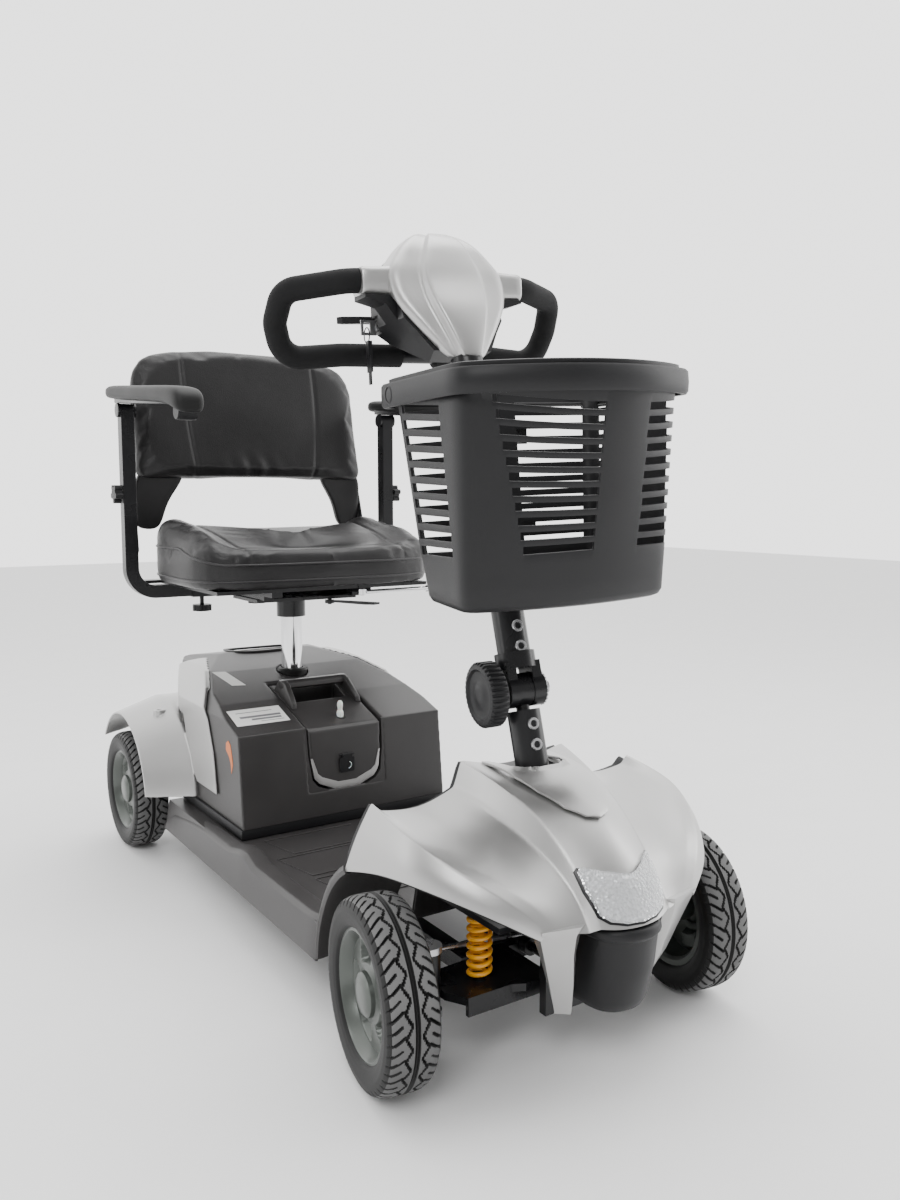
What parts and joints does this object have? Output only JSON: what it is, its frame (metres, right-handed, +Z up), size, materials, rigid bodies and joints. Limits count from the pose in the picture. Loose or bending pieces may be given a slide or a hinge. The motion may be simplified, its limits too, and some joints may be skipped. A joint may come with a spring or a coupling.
{
  "type": "mobility scooter",
  "caption": "Travel mobility scooter: four wheels on a flat deck, a raked steering tiller with loop handles and a basket, a lift-out battery pack and a padded swivel seat with flip-up armrests.",
  "frame": {"origin": "on the ground under the middle of the machine's length and width", "axes": "+Z up, -Y towards the front, +X towards the rider's left"},
  "size_m": [0.598, 1.31, 1.0705],
  "materials": {
    "frame_steel": "satin black",
    "black_plastic": "fine texture",
    "silver_paint": "metallic silver lacquer over plastic",
    "clear_lens": "clear, prismatic",
    "chrome": "polished",
    "aluminium": "cast",
    "rim_paint": "grey lacquer",
    "tyre": "treaded",
    "foam": "closed-cell foam",
    "vinyl": "grained",
    "spring_orange": "gloss",
    "battery": "smooth",
    "button_white": "translucent boot",
    "orange_plastic": "gloss",
    "bright_steel": "zinc plated"
  },
  "bodies": {
    "chassis": {"main_frame": "frame_steel", "floor_pan": "black_plastic", "front_cowl": "silver_paint", "stem_cover": "silver_paint", "headlight_lens": "clear_lens", "front_bumper": "black_plastic", "rear_shroud": "black_plastic", "rear_side_covers": "silver_paint", "transaxle": "aluminium", "controller": "aluminium", "suspension_springs": "spring_orange"},
    "freewheel": {"freewheel_lever": "orange_plastic"},
    "column": {"steering_column": "frame_steel"},
    "tiller": {"tiller_stem": "frame_steel", "head_upper": "silver_paint", "head_lower": "black_plastic", "handlebar": "frame_steel", "grips": "foam"},
    "tilt_clamp": {"tilt_knob": "black_plastic"},
    "speed_dial": {"speed_dial": "black_plastic"},
    "horn": {"horn_button": "orange_plastic"},
    "throttle": {"throttle_lever": "black_plastic"},
    "key": {"key": "bright_steel"},
    "key_fob": {"key_fob": "black_plastic"},
    "basket": {"basket": "black_plastic"},
    "basket_handle": {"basket_handle": "black_plastic"},
    "battery": {"battery_pack": "black_plastic", "battery_cells": "battery"},
    "charger_flap": {"charger_cover": "black_plastic"},
    "breaker": {"breaker_button": "button_white"},
    "seat_column": {"seat_post": "chrome"},
    "seat_turntable": {"seat_swivel": "frame_steel"},
    "seat": {"seat_frame": "frame_steel", "seat_cushion": "vinyl"},
    "backrest": {"backrest_frame": "frame_steel", "backrest_cushion": "vinyl"},
    "slide_release": {"slide_lever": "chrome"},
    "swivel_release": {"swivel_lever": "frame_steel"},
    "suspension_left": {"suspension_arm_left": "frame_steel"},
    "knuckle_left": {"knuckle_left": "bright_steel"},
    "tie_rod_left": {"tie_rod_left": "bright_steel"},
    "front_wheel_left": {"tyre_front_left": "tyre", "rim_front_left": "rim_paint"},
    "rear_wheel_left": {"tyre_rear_left": "tyre", "rim_rear_left": "rim_paint"},
    "suspension_right": {"suspension_arm_right": "frame_steel"},
    "knuckle_right": {"knuckle_right": "bright_steel"},
    "tie_rod_right": {"tie_rod_right": "bright_steel"},
    "front_wheel_right": {"tyre_front_right": "tyre", "rim_front_right": "rim_paint"},
    "rear_wheel_right": {"tyre_rear_right": "tyre", "rim_rear_right": "rim_paint"},
    "armrest_tube_left": {"armrest_frame_left": "frame_steel"},
    "armrest_left": {"armrest_pad_left": "black_plastic"},
    "width_clamp_left": {"width_knob_left": "black_plastic"},
    "upright_clamp_left": {"height_knob_left": "black_plastic"},
    "armrest_tube_right": {"armrest_frame_right": "frame_steel"},
    "armrest_right": {"armrest_pad_right": "black_plastic"},
    "width_clamp_right": {"width_knob_right": "black_plastic"},
    "upright_clamp_right": {"height_knob_right": "black_plastic"}
  },
  "joints": [
    {"name": "steering", "type": "hinge", "parent": "chassis", "child": "column", "pos_m": [0, -0.4664, 0.25], "axis": [0, 0.2756, 0.9613], "range_deg": [-31.5, 48.5]},
    {"name": "tiller_tilt", "type": "hinge", "parent": "column", "child": "tiller", "pos_m": [0, -0.41135, 0.442], "axis": [-0.989, 0.1421, -0.0407], "range_deg": [-18, 10]},
    {"name": "tilt_clamp_turn", "type": "hinge", "parent": "tiller", "child": "tilt_clamp", "pos_m": [0, -0.41135, 0.442], "axis": [-0.989, 0.1421, -0.0407], "continuous": true},
    {"name": "speed_dial_turn", "type": "hinge", "parent": "tiller", "child": "speed_dial", "pos_m": [0.03477, -0.15376, 1.03616], "axis": [0.0747, 0.7181, 0.6919], "range_deg": [-135, 135]},
    {"name": "horn_press", "type": "slide", "parent": "tiller", "child": "horn", "axis": [-0.0747, -0.7181, -0.6919], "range_m": [0, 0.0025], "stiffness_N_per_m": 400, "springref_m": -0.001},
    {"name": "throttle_swing", "type": "hinge", "parent": "tiller", "child": "throttle", "pos_m": [0.0222, -0.10759, 0.96245], "axis": [-0.0407, 0.0029, 0.9992], "range_deg": [-15, 15], "stiffness_Nm_per_rad": 0.4},
    {"name": "key_turn", "type": "hinge", "parent": "tiller", "child": "key", "pos_m": [-0.04057, -0.12782, 0.94294], "axis": [0.989, -0.1421, 0.0407], "range_deg": [0, 45]},
    {"name": "key_fob_swing", "type": "hinge", "parent": "key", "child": "key_fob", "pos_m": [-0.06826, -0.12384, 0.9418], "axis": [0.989, -0.1421, 0.0407], "range_deg": [-45, 0]},
    {"name": "basket_lift", "type": "slide", "parent": "tiller", "child": "basket", "axis": [0, 0, 1], "range_m": [0, 0.04]},
    {"name": "basket_handle_swing", "type": "hinge", "parent": "basket", "child": "basket_handle", "pos_m": [-0.0129, -0.39108, 0.82574], "axis": [-0.989, 0.1421, -0.0407], "range_deg": [0, 95]},
    {"name": "suspension_left", "type": "hinge", "parent": "chassis", "child": "suspension_left", "pos_m": [0, -0.468, 0.1], "axis": [0, -1, 0], "range_deg": [-3, 3], "stiffness_Nm_per_rad": 900, "springref_deg": -1.6, "deforming": ["suspension_springs"]},
    {"name": "kingpin_left", "type": "hinge", "parent": "suspension_left", "child": "knuckle_left", "pos_m": [0.178, -0.468, 0.114], "axis": [0, 0, 1], "range_deg": [-31.5, 48.5]},
    {"name": "tie_rod_left", "type": "hinge", "parent": "knuckle_left", "child": "tie_rod_left", "pos_m": [0.18391, -0.42844, 0.125], "axis": [0, 0, 1], "range_deg": [-48.5, 31.5]},
    {"name": "front_wheel_left", "type": "hinge", "parent": "knuckle_left", "child": "front_wheel_left", "pos_m": [0.23932, -0.47716, 0.114], "axis": [0.989, -0.1478, 0], "continuous": true},
    {"name": "rear_wheel_left", "type": "hinge", "parent": "chassis", "child": "rear_wheel_left", "pos_m": [0.24, 0.538, 0.114], "axis": [1, 0, 0], "continuous": true},
    {"name": "suspension_right", "type": "hinge", "parent": "chassis", "child": "suspension_right", "pos_m": [0, -0.468, 0.1], "axis": [0, 1, 0], "range_deg": [-3, 3], "stiffness_Nm_per_rad": 900, "springref_deg": -1.6, "deforming": ["suspension_springs"]},
    {"name": "kingpin_right", "type": "hinge", "parent": "suspension_right", "child": "knuckle_right", "pos_m": [-0.178, -0.468, 0.114], "axis": [0, 0, 1], "range_deg": [-31.5, 48.5]},
    {"name": "tie_rod_right", "type": "hinge", "parent": "knuckle_right", "child": "tie_rod_right", "pos_m": [-0.17209, -0.42844, 0.125], "axis": [0, 0, 1], "range_deg": [-48.5, 31.5]},
    {"name": "front_wheel_right", "type": "hinge", "parent": "knuckle_right", "child": "front_wheel_right", "pos_m": [-0.23932, -0.45884, 0.114], "axis": [0.989, -0.1478, 0], "continuous": true},
    {"name": "rear_wheel_right", "type": "hinge", "parent": "chassis", "child": "rear_wheel_right", "pos_m": [-0.24, 0.538, 0.114], "axis": [1, 0, 0], "continuous": true},
    {"name": "freewheel_turn", "type": "hinge", "parent": "chassis", "child": "freewheel", "pos_m": [0.072, 0.566, 0.124], "axis": [1, 0, 0], "range_deg": [0, 25]},
    {"name": "battery_lift", "type": "slide", "parent": "chassis", "child": "battery", "axis": [0, 0, 1], "range_m": [0, 0.1]},
    {"name": "charger_flap_open", "type": "hinge", "parent": "battery", "child": "charger_flap", "pos_m": [0, 0.0866, 0.246], "axis": [-1, 0, 0], "range_deg": [0, 105]},
    {"name": "breaker_press", "type": "slide", "parent": "battery", "child": "breaker", "axis": [0, 0, -1], "range_m": [0, 0.0025], "stiffness_N_per_m": 400, "springref_m": -0.001},
    {"name": "seat_height", "type": "slide", "parent": "chassis", "child": "seat_column", "axis": [0, 0, 1], "range_m": [-0.03, 0.06]},
    {"name": "seat_swivel", "type": "hinge", "parent": "seat_column", "child": "seat_turntable", "pos_m": [0, 0.311, 0.5], "axis": [0, 0, 1], "continuous": true},
    {"name": "seat_slide", "type": "slide", "parent": "seat_turntable", "child": "seat", "axis": [0, 1, 0], "range_m": [-0.04, 0.04]},
    {"name": "backrest_fold", "type": "hinge", "parent": "seat", "child": "backrest", "pos_m": [0, 0.48, 0.6], "axis": [1, 0, 0], "range_deg": [0, 62]},
    {"name": "slide_release_turn", "type": "hinge", "parent": "seat", "child": "slide_release", "pos_m": [0.072, 0.158, 0.522], "axis": [0, 0, -1], "range_deg": [0, 10], "stiffness_Nm_per_rad": 0.5},
    {"name": "swivel_release_turn", "type": "hinge", "parent": "seat_turntable", "child": "swivel_release", "pos_m": [0.046, 0.238, 0.5], "axis": [0, 0, 1], "range_deg": [-10, 10], "stiffness_Nm_per_rad": 0.5},
    {"name": "armrest_width_left", "type": "slide", "parent": "seat", "child": "armrest_tube_left", "axis": [1, 0, 0], "range_m": [0, 0.06]},
    {"name": "armrest_flip_left", "type": "hinge", "parent": "armrest_tube_left", "child": "armrest_left", "pos_m": [0.265, 0.409, 0.852], "axis": [-1, 0, 0], "range_deg": [0, 95]},
    {"name": "width_clamp_turn_left", "type": "hinge", "parent": "seat", "child": "width_clamp_left", "pos_m": [-0.028, 0.409, 0.49], "axis": [0, 0, 1], "continuous": true},
    {"name": "upright_clamp_turn_left", "type": "hinge", "parent": "armrest_tube_left", "child": "upright_clamp_left", "pos_m": [0.277, 0.409, 0.7], "axis": [1, 0, 0], "continuous": true},
    {"name": "armrest_width_right", "type": "slide", "parent": "seat", "child": "armrest_tube_right", "axis": [-1, 0, 0], "range_m": [0, 0.06]},
    {"name": "armrest_flip_right", "type": "hinge", "parent": "armrest_tube_right", "child": "armrest_right", "pos_m": [-0.265, 0.439, 0.852], "axis": [-1, 0, 0], "range_deg": [0, 95]},
    {"name": "width_clamp_turn_right", "type": "hinge", "parent": "seat", "child": "width_clamp_right", "pos_m": [-0.13, 0.439, 0.49], "axis": [0, 0, 1], "continuous": true},
    {"name": "upright_clamp_turn_right", "type": "hinge", "parent": "armrest_tube_right", "child": "upright_clamp_right", "pos_m": [-0.277, 0.439, 0.7], "axis": [1, 0, 0], "continuous": true}
  ],
  "couplings": [
    {"joint": "key_fob_swing", "follows": "key_turn", "ratio": -1},
    {"joint": "kingpin_left", "follows": "steering", "ratio": 1},
    {"joint": "tie_rod_left", "follows": "steering", "ratio": -1},
    {"joint": "kingpin_right", "follows": "steering", "ratio": 1},
    {"joint": "tie_rod_right", "follows": "steering", "ratio": -1}
  ]
}
